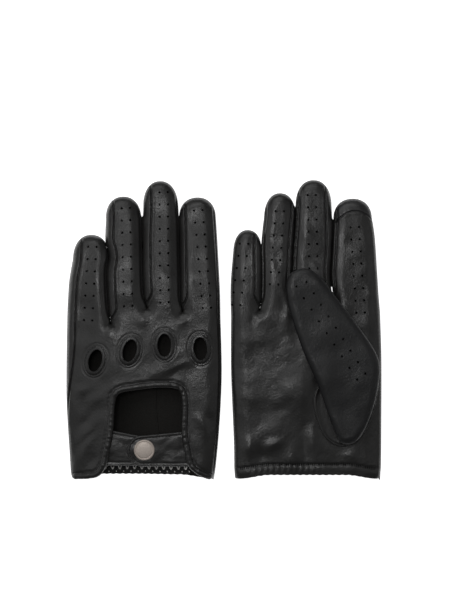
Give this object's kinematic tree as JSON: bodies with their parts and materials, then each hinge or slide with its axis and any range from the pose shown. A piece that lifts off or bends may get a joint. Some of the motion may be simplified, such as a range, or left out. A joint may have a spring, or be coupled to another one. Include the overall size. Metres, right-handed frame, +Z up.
{
  "type": "leather driving gloves",
  "caption": "Pair of short black leather driving gloves lying flat, with open knuckles, perforated fingers and a wrist strap that snaps shut over a cut-out.",
  "frame": {"origin": "middle of the pair's bounding box, on the surface that the gloves lie on", "axes": "+X from the left-hand glove to the right-hand glove, +Y towards the fingertips, +Z up"},
  "size_m": [0.227, 0.2156, 0.018],
  "materials": {
    "nappa_leather": "satin, fine grain",
    "touch_leather": "smooth satin",
    "elastic": "matte, zigzag stitched",
    "snap_metal": "matte pewter plating",
    "thread": "waxed thread"
  },
  "bodies": {
    "left_hand": {"left_back_panel": "nappa_leather", "left_palm_panel": "nappa_leather", "left_fork_little_ring": "nappa_leather", "left_fork_ring_middle": "nappa_leather", "left_fork_middle_index": "nappa_leather", "left_touch_tip": "touch_leather", "left_knuckle_facings": "nappa_leather", "left_cutout_binding": "nappa_leather", "left_wrist_elastic": "elastic", "left_thumb_gusset": "nappa_leather", "left_strap_tab": "nappa_leather", "left_snap_stud": "snap_metal", "left_snap_post": "snap_metal"},
    "left_strap": {"left_strap": "nappa_leather", "left_snap_cap": "snap_metal", "left_snap_socket": "snap_metal"},
    "left_thumb": {"left_thumb": "nappa_leather"},
    "right_hand": {"right_back_panel": "nappa_leather", "right_palm_panel": "nappa_leather", "right_fork_little_ring": "nappa_leather", "right_fork_ring_middle": "nappa_leather", "right_fork_middle_index": "nappa_leather", "right_touch_tip": "touch_leather", "right_knuckle_facings": "nappa_leather", "right_cutout_binding": "nappa_leather", "right_wrist_elastic": "elastic", "right_thumb_gusset": "nappa_leather", "right_strap_tab": "nappa_leather", "right_snap_stud": "snap_metal", "right_snap_post": "snap_metal"},
    "right_strap": {"right_strap": "nappa_leather", "right_snap_cap": "snap_metal", "right_snap_socket": "snap_metal"},
    "right_thumb": {"right_thumb": "nappa_leather"}
  },
  "joints": [
    {"name": "right_lift", "type": "slide", "parent": "left_hand", "child": "right_hand", "axis": [0, 0, 1], "range_m": [0, 0.08]},
    {"name": "left_strap_fold", "type": "hinge", "parent": "left_hand", "child": "left_strap", "pos_m": [-0.033, -0.0858, 0.0169], "axis": [0, 1, 0], "range_deg": [0, 120]},
    {"name": "right_strap_fold", "type": "hinge", "parent": "right_hand", "child": "right_strap", "pos_m": [0.0845, -0.0858, 0.0011], "axis": [0, -1, 0], "range_deg": [0, 120]},
    {"name": "left_thumb_swing", "type": "hinge", "parent": "left_hand", "child": "left_thumb", "pos_m": [-0.0235, -0.072, 0.003], "axis": [0, 0, 1], "range_deg": [-10, 20]},
    {"name": "right_thumb_swing", "type": "hinge", "parent": "right_hand", "child": "right_thumb", "pos_m": [0.0921, -0.072, 0.015], "axis": [0, 0, 1], "range_deg": [-60, 10]}
  ]
}
